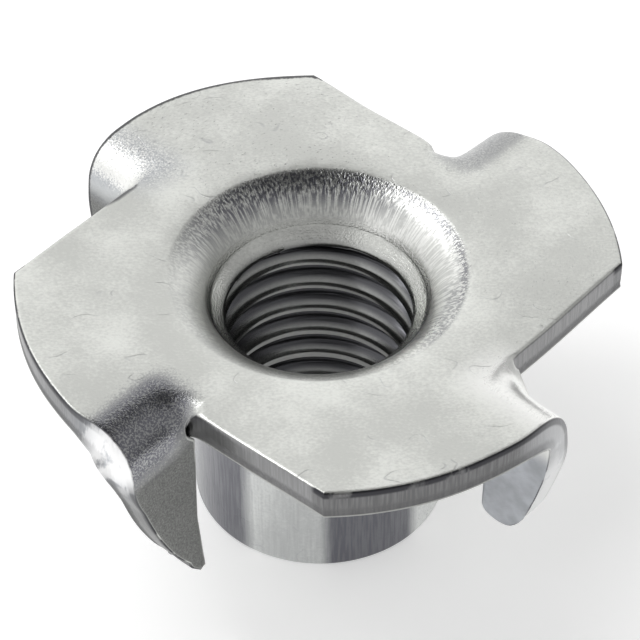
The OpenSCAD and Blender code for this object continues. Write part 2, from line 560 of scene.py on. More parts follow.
class Tree:
    """A small helper that adds nodes to a geometry or shader tree and links them."""

    def __init__(self, tree):
        self.tree = tree
        self.row = 0

    def node(self, kind, label="", inputs=None, **settings):
        n = self.tree.nodes.new(kind)
        n.label = label
        n.location = (180 * (self.row % 12), -260 * (self.row // 12))
        self.row += 1
        for key, value in settings.items():
            setattr(n, key, value)
        for key, value in (inputs or {}).items():
            self.put(n.inputs[key], value)
        return n

    def put(self, socket, value):
        if isinstance(value, bpy.types.NodeSocket):
            self.tree.links.new(value, socket)
        elif isinstance(value, bpy.types.Node):
            self.tree.links.new(value.outputs[0], socket)
        else:
            socket.default_value = value

    def math(self, operation, a, b=0.0, c=0.0, label="", clamp=False):
        kind = "ShaderNodeMath"
        n = self.node(kind, label, {0: a, 1: b, 2: c}, operation=operation, use_clamp=clamp)
        return n.outputs[0]

    def plus(self, a, b, **more):
        return self.math("ADD", a, b, **more)

    def minus(self, a, b, **more):
        return self.math("SUBTRACT", a, b, **more)

    def times(self, first, *others, **more):
        for value in others:
            first = self.math("MULTIPLY", first, value, **more)
        return first

    def times_plus(self, a, b, c, **more):
        return self.math("MULTIPLY_ADD", a, b, c, **more)

    def most(self, first, *others, **more):
        for value in others:
            first = self.math("MAXIMUM", first, value, **more)
        return first

    def without(self, value, taken):
        """The value where there is nothing of what is taken, and less of it where there is some."""
        return self.times(value, self.minus(1.0, taken))

    def noise(self, label, place, scale, detail):
        inputs = {"Vector": place, "Scale": scale, "Detail": detail}
        return self.node("ShaderNodeTexNoise", label, inputs).outputs[0]

    def smooth(self, value, low, high, label=""):
        inputs = {"Value": value, "From Min": low, "From Max": high}
        kind = "ShaderNodeMapRange"
        return self.node(kind, label, inputs, interpolation_type="SMOOTHSTEP").outputs[0]

    def choose(self, factor, a, b, label=""):
        n = self.node("ShaderNodeMix", label, {"Factor": factor}, data_type="FLOAT")
        self.put(n.inputs["A"], a)
        self.put(n.inputs["B"], b)
        return n.outputs["Result"]


def new_tree(name, inputs):
    """A geometry tree with its named inputs, and the helper that fills it."""
    tree = bpy.data.node_groups.new(name, "GeometryNodeTree")
    face = tree.interface
    face.new_socket("Geometry", in_out="OUTPUT", socket_type="NodeSocketGeometry")
    face.new_socket("Geometry", in_out="INPUT", socket_type="NodeSocketGeometry")
    for label, kind, default, note in inputs:
        socket = face.new_socket(label, in_out="INPUT", socket_type=kind)
        socket.description = note
        if default is not None:
            socket.default_value = default
    t = Tree(tree)
    return tree, t, t.node("NodeGroupInput"), t.node("NodeGroupOutput")


def evaluated(obj, tree, values):
    """Runs the tree on the object with the given inputs, and leaves the result as a plain mesh."""
    modifier = obj.modifiers.new(tree.name, "NODES")
    modifier.node_group = tree
    for item in tree.interface.items_tree:
        if item.item_type == "SOCKET" and item.in_out == "INPUT" and item.name in values:
            modifier[item.identifier] = values[item.name]
    graph = bpy.context.evaluated_depsgraph_get()
    found = obj.evaluated_get(graph)
    mesh = bpy.data.meshes.new_from_object(found, preserve_all_data_layers=True, depsgraph=graph)
    obj.modifiers.remove(modifier)
    old = obj.data
    obj.data = mesh
    bpy.data.meshes.remove(old)
    if not mesh.polygons:
        raise RuntimeError(f"{tree.name} made no faces")
    return obj


def lobes_tree(material):
    """Sets one lobe round the axis as often as the blank has lobes, and welds the seams."""
    tree, t, given, out = new_tree(
        "Lobes round the axis",
        [
            ("Lobes", "NodeSocketInt", 2, "How many of these lobes stand round the axis"),
            ("First turn", "NodeSocketFloat", 0.0, "Angle of the first of them"),
            ("Weld", "NodeSocketFloat", 2e-6, "Distance over which seams are joined"),
        ],
    )
    points = t.node("GeometryNodePoints", "One point per lobe", {"Count": given.outputs["Lobes"]})
    index = t.node("GeometryNodeInputIndex")
    step = t.math("DIVIDE", 2 * math.pi, given.outputs["Lobes"], label="Angle between lobes")
    turn = t.times_plus(index, step, given.outputs["First turn"])
    spin = t.node("ShaderNodeCombineXYZ", "Turn about the axis", {"Z": turn})
    placed = t.node(
        "GeometryNodeInstanceOnPoints",
        "",
        {"Points": points, "Instance": given.outputs["Geometry"], "Rotation": spin},
    )
    real = t.node("GeometryNodeRealizeInstances", "", {0: placed})
    weld = t.node(
        "GeometryNodeMergeByDistance",
        "Weld the seams",
        {"Geometry": real, "Distance": given.outputs["Weld"]},
    )
    plated = t.node("GeometryNodeSetMaterial", "", {"Geometry": weld, "Material": material})
    t.put(out.inputs[0], plated)
    return tree


# how far below the step's foot the thread's run-out ends and starts, in millimetres
RUN_OUT_END, RUN_OUT_START = 0.1, 0.42


def barrel_tree(material):
    """Turns a section round the axis and gives the rows that carry a tooth their lead."""
    real_number = "NodeSocketFloat"
    tree, t, given, out = new_tree(
        "Turned barrel and thread",
        [
            ("Segments", "NodeSocketInt", 144, "Steps round the axis"),
            ("Start", real_number, 0.0, "Angle of the first step"),
            ("Pitch", real_number, 1.25 * MM, "Rise of the thread in one turn"),
            ("Major radius", real_number, 4.0 * MM, "Radius at the thread's roots"),
            ("Minor radius", real_number, 3.45 * MM, "Radius over its crests"),
            ("Step foot", real_number, 9.02 * MM, "Height where the sloping step ends"),
            ("Thread top", real_number, 9.5 * MM, "Height where the threaded part ends"),
            ("Weld", real_number, 2e-6, "Distance over which seams are joined"),
        ],
    )
    g = given.outputs
    size = t.node("GeometryNodeAttributeDomainSize", "Rows in the section", {0: g["Geometry"]})
    rows = size.outputs["Point Count"]
    columns = t.plus(g["Segments"], 1.0)
    grid = t.node("GeometryNodeMeshGrid", "", {"Vertices X": columns, "Vertices Y": rows})
    index = t.node("GeometryNodeInputIndex")
    column = t.math("FLOOR", t.math("DIVIDE", index, rows))
    row = t.minus(index, t.times(column, rows))
    part = t.math("DIVIDE", column, g["Segments"], label="Share of a turn")

    def sampled(name, kind="FLOAT"):
        if name:
            field = t.node("GeometryNodeInputNamedAttribute", name, {0: name}, data_type="FLOAT")
        else:
            field = t.node("GeometryNodeInputPosition")
        inputs = {"Geometry": g["Geometry"], "Index": row}
        n = t.node("GeometryNodeSampleIndex", name, inputs, data_type=kind)
        t.put([i for i in n.inputs if i.name == "Value" and i.enabled][0], field.outputs[0])
        return [o for o in n.outputs if o.enabled][0]

    place = t.node("ShaderNodeSeparateXYZ", "", {0: sampled("", "FLOAT_VECTOR")})
    lead = sampled("lead")
    rise = t.times(t.times(part, g["Pitch"]), lead, label="Lead")
    raised = t.plus(place.outputs["Z"], rise)
    held = t.math("MINIMUM", t.most(raised, 0.0), g["Thread top"])
    is_lead = t.math("GREATER_THAN", lead, 0.5)
    z = t.choose(is_lead, place.outputs["Z"], held, "Height")
    # the thread runs out below the sloping step, and opens into the lead-in at the barrel's end
    run_out = t.minus(g["Step foot"], RUN_OUT_END * MM)
    full = t.minus(g["Step foot"], RUN_OUT_START * MM)
    fade = t.smooth(z, run_out, full, "Run-out")
    tooth = t.minus(place.outputs["X"], g["Minor radius"])
    cut = t.plus(g["Minor radius"], t.times(tooth, fade), label="Tooth")
    over = t.most(t.minus(z, g["Step foot"]), 0.0)
    stepped = t.plus(g["Minor radius"], over, label="Sloping step")
    cone = t.minus(g["Major radius"], z, label="Lead-in")
    bore = t.most(cut, stepped, cone)
    radius = t.choose(is_lead, place.outputs["X"], bore, "Radius")
    turn = t.plus(g["Start"], t.times(part, 2 * math.pi))
    x = t.times(radius, t.math("COSINE", turn))
    y = t.times(radius, t.math("SINE", turn))
    turned = t.node("ShaderNodeCombineXYZ", "", {"X": x, "Y": y, "Z": z})
    shape = t.node("GeometryNodeSetPosition", "", {"Geometry": grid, "Position": turned})
    for name in ("mouth", "bore", "drawn", "root"):
        inputs, kind = {"Geometry": shape, "Name": name}, {"data_type": "FLOAT", "domain": "POINT"}
        store = t.node("GeometryNodeStoreNamedAttribute", name, inputs, **kind)
        t.put([i for i in store.inputs if i.name == "Value" and i.enabled][0], sampled(name))
        shape = store
    close = {"Geometry": shape, "Distance": g["Weld"]}
    weld = t.node("GeometryNodeMergeByDistance", "Close the seam", close)
    real = t.node("GeometryNodeRealizeInstances", "", {0: weld})
    plated = t.node("GeometryNodeSetMaterial", "", {"Geometry": real, "Material": material})
    t.put(out.inputs[0], plated)
    return tree


# one tooth of the thread, as shares of the pitch below its crest and of its depth
TOOTH = (
    *((0.0, 0.0), (0.09, 0.0), (0.14, 0.05), (0.2, 0.17), (0.31, 0.47), (0.4, 0.78)),
    *((0.45, 0.93), (0.5, 1.0), (0.55, 0.93), (0.6, 0.78), (0.69, 0.47), (0.8, 0.17)),
    *((0.86, 0.05), (0.91, 0.0)),
)
ROLL_STEPS, CHAMFER_STEPS, WALL_STEPS, ROOT_STEPS = 24, 6, 11, 8  # along the barrel's section


def barrel_section(b, s, ring_r):
    """The barrel's section from the flange's top face through the bore to its underside."""
    rows = []

    def add(r, z, lead=0.0, mouth=0.0, bore=0.0, drawn=0.0, root=0.0):
        rows.append((r, z, lead, mouth, bore, drawn, root))

    top, under = s["top_z"], s["top_z"] - s["thickness"]
    foot_z = top - b["mouth_h"]
    # the mouth's rolled edge is an arc from its first slope to as much beyond its chord's slope
    chord = math.atan2(b["mouth_h"], b["mouth_w"])
    first, last = b["mouth_slope"], 2 * chord - b["mouth_slope"]
    roll_r = b["mouth_w"] / (math.sin(last) - math.sin(first))
    for i in range(ROLL_STEPS + 1):
        a = first + (last - first) * i / ROLL_STEPS
        r = ring_r + roll_r * (math.sin(first) - math.sin(a))
        add(r, top - roll_r * (math.cos(first) - math.cos(a)), mouth=min(1, i / 3))
    crest = b["crest_z"] + b["pitch"] * (SEAM - math.pi / 2) / (2 * math.pi)
    start = math.ceil((foot_z - crest) / b["pitch"]) + 1
    for k in range(start, -20, -1):
        for drop, deep in TOOTH:
            z = crest + b["pitch"] * (k - drop)
            if z > foot_z + 0.3 or z < -b["pitch"] - 0.3:
                continue
            r = b["minor_r"] + deep * (b["major_r"] - b["minor_r"])
            add(r, z, lead=1.0, bore=1.0, root=deep)
    c = b["end_chamfer"]
    for r in (0.06, 0.25, 0.44):  # the flat end, from the bore outwards
        add(b["major_r"] + r, 0.0, bore=0.3)
    for i in range(CHAMFER_STEPS + 1):
        a = math.radians(-90 + 90 * i / CHAMFER_STEPS)
        add(b["outer_r"] - c + c * math.cos(a), c + c * math.sin(a), drawn=1.0)
    wall_top = under - b["root_r"]
    for z in np.linspace(c, wall_top, WALL_STEPS + 1)[1:]:
        add(b["outer_r"], z, drawn=1.0)
    for i in range(1, ROOT_STEPS + 1):
        a = math.radians(180 - 90 * i / ROOT_STEPS)
        r = b["outer_r"] + b["root_r"] + b["root_r"] * math.cos(a)
        add(r, wall_top + b["root_r"] * math.sin(a), drawn=1.0 - i / ROOT_STEPS)
    add(ring_r, under)
    return np.array(rows)


# --- the plating -------------------------------------------------------------------------------


# painted reflections in bright and dull bands across the barrel: place as a share of its width, and
# tone
REFLECTION_BANDS = (
    *((0.02, 0.1), (0.15, 0.0), (0.2, 0.05), (0.25, 0.85)),
    *((0.49, 0.75), (0.54, 0.0), (0.82, 0.05), (0.86, 1.0)),
)


RAYS_R = 4.7  # millimetres: where the mouth's rough pattern keeps its own size round the axis
BARREL_R = 4.78  # millimetres: the barrel's radius for the bands across it


def new_effect(name, inputs, outputs):
    """A shader group with its named sockets, and the helper that fills it."""
    tree = bpy.data.node_groups.new(name, "ShaderNodeTree")
    for label, kind, default in inputs:
        socket = tree.interface.new_socket(label, in_out="INPUT", socket_type=kind)
        if default is not None:
            socket.default_value = default
    for label in outputs:
        tree.interface.new_socket(label, in_out="OUTPUT", socket_type="NodeSocketFloat")
    t = Tree(tree)
    return tree, t, t.node("NodeGroupInput").outputs, t.node("NodeGroupOutput").inputs


def rolled_skin():
    """Fine grain of rolled and tumbled sheet: short streaks, scratches, dents and slow changes."""
    tree, t, given, out = new_effect(
        "Rolled skin",
        [("Place", "NodeSocketVector", None), ("Grain", "NodeSocketFloat", 0.1)],
        ["Height", "Tone", "Dents", "Scratches"],
    )
    along = t.node("ShaderNodeVectorMath", "Streaks run along X", operation="MULTIPLY")
    t.put(along.inputs[0], given["Place"])
    along.inputs[1].default_value = (0.75, 1.0, 1.0)
    fine = t.math("DIVIDE", 1.0, given["Grain"])
    streak = t.noise("Grain", along, fine, 2.0)
    slow = t.noise("Slow tone", given["Place"], 0.4, 3.0)
    dent = t.node("ShaderNodeTexVoronoi", "Dents", {"Vector": along, "Scale": 0.85})
    near = t.times_plus(slow, 0.25, dent.outputs["Distance"])
    # scratches: thin curved lines, here and there, where a slow pattern passes its middle value
    curl = t.noise("Curls", along, 0.7, 1.0)
    line_at = t.math("ABSOLUTE", t.minus(curl, 0.5))
    some = t.smooth(dent.outputs["Distance"], 0.42, 0.3, "Only here and there")
    t.put(out["Height"], t.minus(streak, 0.5))
    t.put(out["Tone"], t.times_plus(slow, 0.85, t.times(streak, 0.5)))
    t.put(out["Dents"], t.smooth(near, 0.24, 0.14))
    t.put(out["Scratches"], t.times(t.smooth(line_at, 0.01, 0.002), some))
    return tree


def orange_peel():
    """The rough skin that stretching leaves: a close pattern of small humps and hollows."""
    tree, t, given, out = new_effect(
        "Orange peel",
        [("Place", "NodeSocketVector", None), ("Size", "NodeSocketFloat", 0.1)],
        ["Height", "Hollows"],
    )
    humps = t.noise("Humps", given["Place"], t.math("DIVIDE", 1.0, given["Size"]), 2.0)
    t.put(out["Height"], t.minus(humps, 0.5))
    t.put(out["Hollows"], t.smooth(humps, 0.6, 0.42))
    return tree


def drawn_lines():
    """Fine lines that a tool leaves where it slides along the axis."""
    tree, t, given, out = new_effect(
        "Drawn lines",
        [("Place", "NodeSocketVector", None), ("Width", "NodeSocketFloat", 0.12)],
        ["Height", "Tone"],
    )
    long = t.node("ShaderNodeVectorMath", "Lines run along Z", operation="MULTIPLY")
    t.put(long.inputs[0], given["Place"])
    long.inputs[1].default_value = (1.0, 1.0, 0.06)
    lines = t.noise("Lines", long, t.math("DIVIDE", 1.0, given["Width"]), 2.5)
    t.put(out["Height"], t.minus(lines, 0.5))
    t.put(out["Tone"], t.smooth(lines, 0.35, 0.68))
    return tree


def painted_reflection_bands():
    """Painted reflections: broad bands, bright and dull by turns, down the barrel."""
    inputs = [("Across", "NodeSocketFloat", None)]
    tree, t, given, out = new_effect("Polish bands", inputs, ["Tone"])
    across = {"Value": given["Across"], "From Min": -5, "From Max": 5}  # millimetres
    ramp = t.node("ShaderNodeMapRange", "", across)
    steps = t.node("ShaderNodeValToRGB", "Bands", {"Fac": ramp})
    band = steps.color_ramp
    for place, tone in REFLECTION_BANDS:
        stop = band.elements.new(place)
        stop.color = (tone, tone, tone, 1)
    band.elements.remove(band.elements[0])
    band.elements.remove(band.elements[-1])
    t.put(out["Tone"], steps.outputs["Color"])
    return tree


def tool_rings():
    """Rings that a turning tool leaves round the axis."""
    tree, t, given, out = new_effect(
        "Tool rings",
        [("Radius", "NodeSocketFloat", None), ("Height", "NodeSocketFloat", None)],
        ["Height"],
    )
    place = t.node("ShaderNodeCombineXYZ", "", {"X": given["Radius"], "Y": given["Height"]})
    t.put(out["Height"], t.minus(t.noise("Rings", place, 9.0, 3.0), 0.5))
    return tree


def shade(tone, by):
    """The colour made darker or lighter by a factor."""
    return [min(1, c * by) for c in tone]


def plating():
    """Zinc plated steel, with the marks that rolling, pressing, shearing and tapping left on it,
    and with painted highlights, shade and reflections.
    """
    found = bpy.data.materials.get("zinc plated steel")
    if found:
        return found
    p = bpy.context.scene.tee_nut_finish
    m = bpy.data.materials.new("zinc plated steel")
    m.use_nodes = True
    m.node_tree.nodes.clear()
    t = Tree(m.node_tree)
    shader = t.node("ShaderNodeBsdfPrincipled", "", {"Metallic": 1.0})
    t.node("ShaderNodeOutputMaterial", "", {"Surface": shader})

    def mask(name):
        n = t.node("ShaderNodeAttribute", name, attribute_name=name)
        return n.outputs["Fac"]

    def group(tree, **values):
        n = t.node("ShaderNodeGroup", tree.name, node_tree=tree)
        for key, value in values.items():
            t.put(n.inputs[key], value)
        return n.outputs

    def blend(factor, a, b, label=""):
        n = t.node("ShaderNodeMix", label, data_type="RGBA")
        t.put(n.inputs[0], factor)
        for socket, value in ((n.inputs[6], a), (n.inputs[7], b)):
            t.put(socket, value if hasattr(value, "node") else (*value, 1.0))
        return n.outputs[2]

    raw = t.node("ShaderNodeTexCoord").outputs["Object"]
    place = t.node("ShaderNodeVectorMath", "Millimetres", {0: raw}, operation="SCALE")
    place.inputs["Scale"].default_value = 1 / MM
    place = place.outputs[0]
    split = t.node("ShaderNodeSeparateXYZ", "", {0: place}).outputs
    flat = t.node("ShaderNodeCombineXYZ", "", {"X": split["X"], "Y": split["Y"]})
    radius = t.node("ShaderNodeVectorMath", "Radius", {0: flat}, operation="LENGTH")
    radius = radius.outputs["Value"]
    unit = t.node("ShaderNodeVectorMath", "Bearing", {0: flat}, operation="NORMALIZE").outputs[0]
    bearing = t.node("ShaderNodeSeparateXYZ", "", {0: unit}).outputs
    east, north = bearing["X"], bearing["Y"]
    # round the axis at a fixed radius, and slowly along the roll, so that the pattern runs in rays
    ray = t.times(t.minus(radius, split["Z"]), 1.3)
    round_x, round_y = t.times(east, RAYS_R), t.times(north, RAYS_R)
    rays = t.node("ShaderNodeCombineXYZ", "Rays", {"X": round_x, "Y": round_y, "Z": ray}).outputs[0]

    wall, depth, worked, prong = mask("wall"), mask("depth"), mask("worked"), mask("prong")
    squeezed, even, rubbed = mask("squeezed"), mask("even"), mask("rubbed")
    arc_edge, brim, crease = mask("arc"), mask("brim"), mask("crease")
    mouth, bore, drawn, root = mask("mouth"), mask("bore"), mask("drawn"), mask("root")
    skin = group(rolled_skin(), Place=place, Grain=0.1)
    peel_tree = orange_peel()
    peel = group(peel_tree, Place=place, Size=0.07)
    ray_peel = group(peel_tree, Place=rays, Size=0.075)
    lines = group(drawn_lines(), Place=place, Width=0.09)
    rings = group(tool_rings(), Radius=radius, Height=split["Z"])
    bands = group(painted_reflection_bands(), Across=t.times(east, BARREL_R))

    # where each finish shows; the worked places start with a ragged edge
    foot = t.smooth(radius, 4.0, 4.2, "Above the foot of the roll")
    ragged = t.times_plus(ray_peel["Height"], 1.8, mouth)
    outer = t.times_plus(t.smooth(radius, 4.1, 4.8, "Outer part"), 0.65, 0.35)
    mouth_rough = t.times(t.smooth(ragged, 0.0, 0.6), foot, outer)
    # the roll is rough at the back and at one place in front on the right, and smoother elsewhere
    right = t.smooth(east, 1.1, 0.2, "Less on the right")
    behind = t.times(t.smooth(north, -0.25, 0.55, "Behind"), right)
    behind = t.without(behind, t.times(t.smooth(east, -0.6, -0.95, "Far left"), 0.4))
    corner = t.times_plus(east, 0.9, t.times(north, -0.42))
    corner = t.times(t.smooth(corner, 0.88, 0.97, "In front on the right"), 0.7)
    fringe = t.times_plus(east, 0.5, t.times(north, 0.85))
    fringe = t.smooth(fringe, -0.2, 0.3, "Behind and right")
    fringe = t.times(fringe, 0.8, t.smooth(radius, 4.9, 5.25, "Fringe"))
    rough_share = t.most(behind, corner, 0.2, fringe)
    # the right side of the mouth, which gets a painted highlight and a stronger relief
    bright_side = t.times(t.smooth(east, 0.1, 0.6, "Bright side"), 0.8)
    mouth_relief = t.times(mouth_rough, t.most(rough_share, bright_side))
    mouth_rough = t.times(mouth_rough, rough_share)
    cut_edge = t.smooth(wall, 0.3, 0.9, "Cut edge")
    outer_face = t.minus(1.0, t.most(cut_edge, depth), clamp=True)
    stretched = t.times_plus(peel["Height"], 1.2, worked)
    stretched = t.times(t.smooth(stretched, 0.2, 0.8, "Stretched"), outer_face)
    less = t.times(t.smooth(north, -0.2, 0.4), 0.35, label="Less at the back")
    stretched = t.without(stretched, less)
    ragged = t.times_plus(lines["Height"], 0.35, depth)
    torn = t.times(t.smooth(ragged, 0.55, 0.75, "Torn lower part"), cut_edge)
    torn = t.without(torn, even)
    turned = t.most(bore, t.minus(mouth, foot), clamp=True)
    hanging = t.times(prong, outer_face, t.smooth(wall, 0.4, 0.05, "Inside the rounded edge"))

    # what the coats of colour need: first the faces and folds
    tone = t.smooth(skin["Tone"], 0.5, 0.95, "Tone of the faces")
    marks = t.times_plus(skin["Dents"], 0.3, t.times(skin["Scratches"], 0.5))
    marks = t.without(marks, mouth)
    mottled = t.times_plus(peel["Height"], 0.5, 0.85, clamp=True)
    inner_face = t.times(prong, t.smooth(depth, 0.93, 0.99, "Inner face"))
    cloud = t.smooth(t.noise("Clouds", place, 1.1, 3.0), 0.25, 0.75, "Mottled inside")
    inner_tone = blend(cloud, shade(p.bluish, 0.7), p.bluish)
    dark_fold = t.times_plus(peel["Hollows"], 0.5, 0.6, clamp=True)
    # the left fold: a painted highlight in its middle, with painted shade in bluish grey above and
    # below it
    left_fold = t.times(rubbed, t.smooth(east, 0.0, -0.5), label="Left fold")
    upper = t.times_plus(peel["Height"], 1.2, split["Z"])
    middle = t.times(t.smooth(upper, 9.7, 10.1), t.smooth(upper, 10.95, 10.5))
    left_fold_light = blend(middle, shade(p.bluish, 0.8), p.bright, "Bright middle")
    # painted shadow along the slit by the left fold
    crease = t.times(t.smooth(crease, 0.35, 0.7), t.smooth(east, 0.0, -0.3))
    # painted highlight on the right fold
    rubbed = t.times(rubbed, t.smooth(east, 0.0, 0.6), label="Rubbed bright")
    # the mouth
    dark_mouth = t.times_plus(ray_peel["Hollows"], 0.75, 0.25)
    in_rays = t.times_plus(ray_peel["Hollows"], -0.8, 1.0)
    # painted highlight on the right side of the mouth, between the rough rays
    mouth_highlight = t.times(bright_side, t.minus(mouth, mouth_rough, clamp=True), in_rays)
    # the sheared edges, with a painted highlight in patches where the folds squeezed them
    patch = t.times_plus(squeezed, 0.5, t.minus(t.noise("Patches", place, 0.9, 6.0), 0.47))
    patch = t.times_plus(lines["Height"], 0.2, patch)
    edge_highlight = t.times(squeezed, t.smooth(patch, 0.32, 0.46, "Squeezed bright in patches"))
    # on the worn kind, a painted highlight all along the squeezed edge
    edge_highlight = t.most(edge_highlight, t.times(even, 0.75))
    sheared = blend(lines["Tone"], shade(p.steel, 1.2), shade(p.steel, 1.5), "Slits")
    # the round edge's steel is darker than the slits': painted shade
    round_edge = blend(lines["Tone"], shade(p.steel, 0.7), p.steel, "Round edge")
    sheared = blend(arc_edge, sheared, round_edge, "Sheared")
    sheared = blend(t.smooth(depth, 0.92, 0.97, "Bright burr"), sheared, p.zinc, "Burr")
    edge_tone = blend(t.times(squeezed, 0.85), sheared, p.bluish, "Cut edge at the folds")
    edge_tone = blend(edge_highlight, edge_tone, p.patches, "Bright patches")
    # painted shade on the edge low on the prong
    low_on_prong = t.times(prong, t.minus(0.8, squeezed, clamp=True))
    edge_tone = blend(low_on_prong, edge_tone, p.worn, "Edge low on the prong")
    border = t.times(t.smooth(wall, 0.02, 0.2), t.smooth(wall, 0.98, 0.7), label="Border")
    border = t.times(border, t.times(squeezed, t.smooth(patch, 0.6, 0.4)))
    crack = t.times(t.smooth(wall, 0.1, 0.5), t.smooth(depth, 0.26, 0.16), label="At the rim")
    crack = t.times(crack, t.times(arc_edge, t.smooth(patch, -0.12, 0.02)))
    crack = t.without(crack, squeezed)
    rim = t.smooth(t.times_plus(skin["Tone"], 0.5, brim), 0.74, 0.94)
    right = t.smooth(east, 0.6, 0.0, "Less on the right")
    rim = t.times(rim, t.smooth(north, 0.15, 0.4), right, t.smooth(depth, 0.2, 0.1))
    torn_share = t.times(torn, t.times_plus(edge_highlight, -0.35, 0.5))
    # the barrel, with painted reflections in broad bright and dull bands over its drawn lines, and
    # its thread
    lines_and_reflection_tone = t.times_plus(lines["Tone"], 0.1, t.minus(0.93, bands["Tone"]))
    lines_and_reflection_tone = t.times(drawn, lines_and_reflection_tone, clamp=True)
    # painted shade down the bore below the step, darkest in the thread's roots
    below = t.times(bore, t.smooth(split["Z"], 9.1, 8.6, "Below the step"))
    thread_shade = t.times_plus(t.smooth(root, 0.05, 0.5), 0.45, 0.5)

    # the coats one over another: where each shows, its colour and its name
    base = blend(tone, shade(p.zinc, 0.84), shade(p.zinc, 1.12))
    for where, coat, label in (
        (t.times(marks, 0.5), p.dull, "Dents and scratches"),
        # the prongs' outer faces: dull worn zinc, darker still as painted shade
        (t.times(hanging, mottled), p.worn, "Prong faces"),
        (inner_face, inner_tone, "Inner faces"),
        (t.times(stretched, dark_fold), shade(p.dull, 0.75), "Fold"),
        (t.times(left_fold, 0.8), left_fold_light, "Left fold"),
        (t.times(crease, 0.8), p.line, "Dark line by the fold"),
        (t.times(rubbed, 0.85), p.bright, "Bright fold"),
        (t.times(mouth_rough, dark_mouth), shade(p.dull, 0.7), "Mouth"),
        (mouth_highlight, p.bright, "Bright side of the mouth"),
        (cut_edge, edge_tone, "Sheared band"),
        (border, p.line, "Dark line between face and edge"),
        (crack, p.rim_line, "Dark broken line round the rim"),
        (t.times(rim, 0.9), p.rim_line, "Back rim"),
        (torn_share, shade(p.steel, 0.8), "Torn band"),
        (t.times(drawn, 0.35), p.bluish, "Bluish barrel"),
        # drawn lines with the painted reflections in bands over them
        (lines_and_reflection_tone, shade(p.dull, 0.56), "Drawn barrel"),
        (t.times(turned, 0.2), p.steel, "Bore"),
        (t.times(below, thread_shade), shade(p.dull, 0.3), "Oily thread"),
    ):
        base = blend(where, base, coat, label)
    t.put(shader.inputs["Base Color"], base)

    # gloss: each finish over the one before
    rough = t.choose(skin["Tone"], p.gloss - 0.06, p.gloss + 0.06)
    for finish, roughness in (
        (stretched, 0.27),
        (rubbed, 0.27),
        (left_fold, 0.4),
        (mouth_rough, 0.24),
        (hanging, 0.4),
        (cut_edge, 0.3),
        (torn, 0.5),
        (turned, 0.2),
        (drawn, 0.24),
    ):
        rough = t.choose(finish, rough, roughness)
    t.put(shader.inputs["Roughness"], rough)

    # relief: what pattern lies where, and its height in millimetres
    smooth_parts = t.most(cut_edge, turned, inner_face)
    plain = t.minus(1.0, smooth_parts, clamp=True)
    polished_step = t.times(turned, t.smooth(split["Z"], 8.7, 9.0, "Polished step"))
    height = t.times(skin["Height"], t.times(plain, 0.006))
    for pattern, finish, rise in (
        (marks, plain, -0.012),
        (peel["Height"], stretched, 0.013),
        (ray_peel["Height"], mouth_relief, 0.026),
        (peel["Height"], left_fold, 0.02),
        (lines["Height"], t.most(cut_edge, drawn), 0.009),
        (peel["Height"], torn, 0.02),
        (rings["Height"], turned, 0.006),
        (peel["Height"], polished_step, 0.016),
    ):
        height = t.times_plus(pattern, t.times(finish, rise), height)
    bump = t.node("ShaderNodeBump", "Relief", {"Height": height, "Distance": MM, "Strength": 1.0})
    t.put(shader.inputs["Normal"], bump)
    return m


# --- operators ---------------------------------------------------------------------------------


def millimetres(group):
    """The barrel's sizes in millimetres."""
    keys = type(group).__annotations__
    plain = ("segments", "mouth_slope")
    return {k: getattr(group, k) / (1 if k in plain else MM) for k in keys}


def ring_radius(b):
    """Where the mouth's roll meets the flange: the ring that sheet and barrel share."""
    return b["minor_r"] + b["mouth_step"] + b["mouth_w"]


def ring_steps(b):
    """Steps round the axis in one lobe, so that sheet and barrel have the same ones."""
    return round(b["segments"] / LOBES)


class TEENUT_OT_sheet(bpy.types.Operator):
    """Cuts and folds one lobe of the sheet and sets it round the axis"""

    bl_idname = "tee_nut.sheet"
    bl_label = "Press the sheet"

    def execute(self, context):
        s = on_blank(context.scene.tee_nut_sheet)
        b = millimetres(context.scene.tee_nut_barrel)
        spin = np.array(Matrix.Rotation(-SLIT_TURN, 3, "Z")).T
        tree = lobes_tree(plating())
        quarter = 2 * math.pi / LOBES
        for i, kind in enumerate(KINDS):
            co, faces, marks = lobe_mesh({**s, **KINDS[kind]}, ring_radius(b), ring_steps(b))
            obj = mesh_object(f"sheet {kind}", co @ spin, faces, marks)
            values = {"Lobes": LOBES // len(KINDS), "First turn": i * quarter}
            evaluated(obj, tree, values)
        return {"FINISHED"}


class TEENUT_OT_barrel(bpy.types.Operator):
    """Turns the barrel with its mouth and cuts its thread"""

    bl_idname = "tee_nut.barrel"
    bl_label = "Turn the barrel"

    def execute(self, context):
        s = on_blank(context.scene.tee_nut_sheet)
        b = millimetres(context.scene.tee_nut_barrel)
        rows = barrel_section(b, s, ring_radius(b))
        co = np.stack([rows[:, 0], rows[:, 0] * 0, rows[:, 1]], 1)
        keys = ("lead", "mouth", "bore", "drawn", "root")
        obj = mesh_object("barrel", co, [], {k: rows[:, 2 + i] for i, k in enumerate(keys)})
        foot_z = s["top_z"] - b["mouth_h"]
        values = {
            "Segments": LOBES * ring_steps(b),
            "Start": SEAM,
            "Pitch": b["pitch"] * MM,
            "Major radius": b["major_r"] * MM,
            "Minor radius": b["minor_r"] * MM,
            "Step foot": (foot_z - b["mouth_step"]) * MM,
            "Thread top": foot_z * MM,
        }
        evaluated(obj, barrel_tree(plating()), values)
        return {"FINISHED"}


